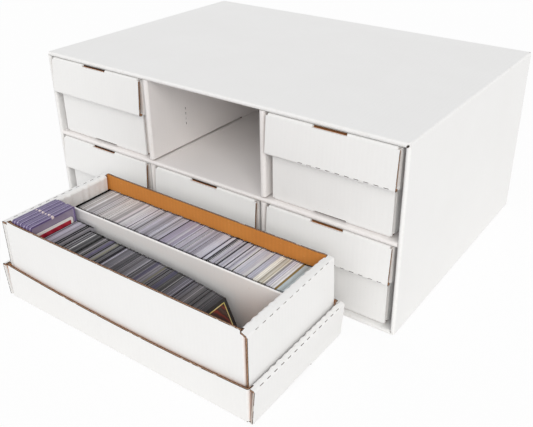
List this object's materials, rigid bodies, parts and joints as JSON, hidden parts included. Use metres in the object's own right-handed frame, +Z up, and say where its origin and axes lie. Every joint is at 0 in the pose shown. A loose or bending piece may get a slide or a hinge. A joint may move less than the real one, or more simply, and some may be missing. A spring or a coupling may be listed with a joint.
{
  "type": "card storage box",
  "caption": "Corrugated board house of open-front bays for lidded card boxes; one box stands in front in its upturned lid, filled with sleeved cards and rigid holders.",
  "frame": {"origin": "middle of the house's underside, on the surface that it stands on", "axes": "+X along the open front towards its right end, +Y from the front into the depth, +Z up"},
  "size_m": [0.6306, 0.6661, 0.2745],
  "materials": {
    "white_board": "matte",
    "upright_board": "matte",
    "rear_sleeves": "satin",
    "wide_sleeves": "satin",
    "front_sleeves": "satin",
    "violet_holder": "gloss",
    "bordered_print": "satin",
    "leaning_print": "gloss"
  },
  "bodies": {
    "house": {"house_shell": "white_board", "shelf": "upright_board", "left_upright": "upright_board", "right_upright": "upright_board"},
    "upper_left_box": {"upper_left_tray": "white_board", "upper_left_lid": "white_board", "upper_left_row_divider": "white_board"},
    "upper_right_box": {"upper_right_tray": "white_board", "upper_right_lid": "white_board", "upper_right_row_divider": "white_board"},
    "lower_left_box": {"lower_left_tray": "white_board", "lower_left_lid": "white_board", "lower_left_row_divider": "white_board"},
    "lower_centre_box": {"lower_centre_tray": "white_board", "lower_centre_lid": "white_board", "lower_centre_row_divider": "white_board"},
    "lower_right_box": {"lower_right_tray": "white_board", "lower_right_lid": "white_board", "lower_right_row_divider": "white_board"},
    "upturned_lid": {"open_lid": "white_board"},
    "filled_tray": {"open_tray": "white_board", "open_row_divider": "white_board"},
    "rear_row": {"rear_cards": "rear_sleeves"},
    "wide_stack": {"wide_sleeves": "wide_sleeves"},
    "front_row": {"front_cards": "front_sleeves"},
    "last_card": {"leaning_card": "leaning_print"},
    "white_card": {"bordered_card": "bordered_print"},
    "holder_1": {"card_holder_1": "violet_holder"},
    "holder_2": {"card_holder_2": "violet_holder"},
    "holder_3": {"card_holder_3": "violet_holder"},
    "holder_4": {"card_holder_4": "violet_holder"},
    "holder_5": {"card_holder_5": "violet_holder"},
    "holder_6": {"card_holder_6": "violet_holder"}
  },
  "joints": [
    {"name": "upper_left_box_slide", "type": "slide", "parent": "house", "child": "upper_left_box", "axis": [0, -1, 0], "range_m": [0, 0.435]},
    {"name": "upper_right_box_slide", "type": "slide", "parent": "house", "child": "upper_right_box", "axis": [0, -1, 0], "range_m": [0, 0.435]},
    {"name": "lower_left_box_slide", "type": "slide", "parent": "house", "child": "lower_left_box", "axis": [0, -1, 0], "range_m": [0, 0.029]},
    {"name": "lower_centre_box_slide", "type": "slide", "parent": "house", "child": "lower_centre_box", "axis": [0, -1, 0], "range_m": [0, 0.029]},
    {"name": "lower_right_box_slide", "type": "slide", "parent": "house", "child": "lower_right_box", "axis": [0, -1, 0], "range_m": [0, 0.029]},
    {"name": "open_box_slide", "type": "slide", "parent": "house", "child": "upturned_lid", "axis": [0, -1, 0], "range_m": [0, 0.45]},
    {"name": "open_tray_lift", "type": "slide", "parent": "upturned_lid", "child": "filled_tray", "axis": [0, 0, 1], "range_m": [0, 0.12]},
    {"name": "rear_cards_lift", "type": "slide", "parent": "filled_tray", "child": "rear_row", "axis": [0, 0, 1], "range_m": [0, 0.12]},
    {"name": "wide_sleeves_lift", "type": "slide", "parent": "filled_tray", "child": "wide_stack", "axis": [0, 0, 1], "range_m": [0, 0.12]},
    {"name": "front_cards_lift", "type": "slide", "parent": "filled_tray", "child": "front_row", "axis": [0, 0, 1], "range_m": [0, 0.12]},
    {"name": "leaning_card_slide", "type": "slide", "parent": "front_row", "child": "last_card", "axis": [-0.4067, 0, 0.9135], "range_m": [0, 0.095]},
    {"name": "bordered_card_lift", "type": "slide", "parent": "filled_tray", "child": "white_card", "axis": [0, 0, 1], "range_m": [0, 0.12]},
    {"name": "card_holder_1_lift", "type": "slide", "parent": "filled_tray", "child": "holder_1", "axis": [0, 0, 1], "range_m": [0, 0.12]},
    {"name": "card_holder_2_lift", "type": "slide", "parent": "filled_tray", "child": "holder_2", "axis": [0, 0, 1], "range_m": [0, 0.12]},
    {"name": "card_holder_3_lift", "type": "slide", "parent": "filled_tray", "child": "holder_3", "axis": [0, 0, 1], "range_m": [0, 0.12]},
    {"name": "card_holder_4_lift", "type": "slide", "parent": "filled_tray", "child": "holder_4", "axis": [0, 0, 1], "range_m": [0, 0.12]},
    {"name": "card_holder_5_lift", "type": "slide", "parent": "filled_tray", "child": "holder_5", "axis": [0, 0, 1], "range_m": [0, 0.12]},
    {"name": "card_holder_6_lift", "type": "slide", "parent": "filled_tray", "child": "holder_6", "axis": [0, 0, 1], "range_m": [0, 0.12]}
  ]
}
